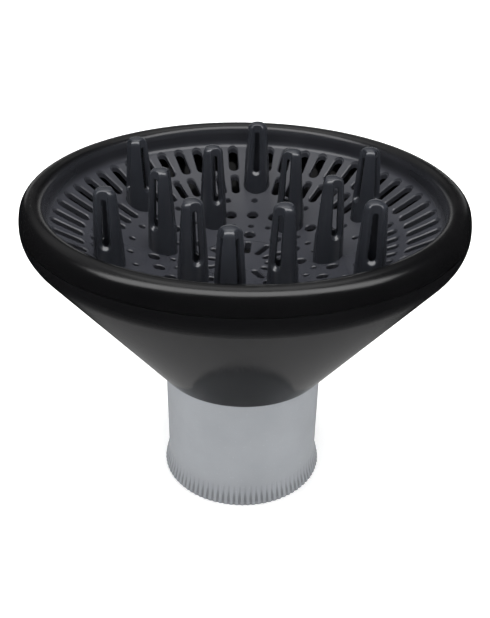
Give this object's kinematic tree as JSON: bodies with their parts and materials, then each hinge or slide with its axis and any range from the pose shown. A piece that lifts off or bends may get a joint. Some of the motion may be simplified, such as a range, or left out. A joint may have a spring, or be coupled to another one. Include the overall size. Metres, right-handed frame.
{
  "type": "dryer diffuser",
  "caption": "Bowl-shaped hair dryer diffuser with a perforated dish, hollow slotted fingers and a soft silicone sleeve that grips the dryer's barrel.",
  "frame": {"origin": "centre of the sleeve's bottom edge, on the bowl's axis", "axes": "+Z along the axis of the bowl towards the fingers; +X through the first outer finger"},
  "size_m": [0.1518, 0.1516, 0.1232],
  "materials": {
    "shell_gloss": "moulded, satin to gloss black",
    "dish_satin": "moulded black, fine satin",
    "seal_black": "soft seal",
    "silicone_grey": "matt cool grey silicone",
    "inner_nylon": "heat-proof nylon",
    "screw_steel": "zinc-plated steel"
  },
  "bodies": {
    "sleeve": {"silicone_sleeve": "silicone_grey", "sleeve_hoop": "inner_nylon"},
    "bowl": {"rear_shell": "shell_gloss", "seam_gasket": "seal_black"},
    "front": {"front_dish": "shell_gloss", "centre_grille": "dish_satin", "air_baffle": "inner_nylon", "baffle_screws": "screw_steel", "finger_outer_1": "dish_satin", "finger_outer_2": "dish_satin", "finger_outer_3": "dish_satin", "finger_outer_4": "dish_satin", "finger_outer_5": "dish_satin", "finger_outer_6": "dish_satin", "finger_inner_1": "dish_satin", "finger_inner_2": "dish_satin", "finger_inner_3": "dish_satin", "finger_inner_4": "dish_satin", "finger_inner_5": "dish_satin", "finger_inner_6": "dish_satin"}
  },
  "joints": [
    {"name": "bowl_pull", "type": "slide", "parent": "sleeve", "child": "bowl", "axis": [0, 0, 1], "range_m": [0, 0.04]},
    {"name": "dish_lift", "type": "slide", "parent": "bowl", "child": "front", "axis": [0, 0, 1], "range_m": [0, 0.06]}
  ]
}
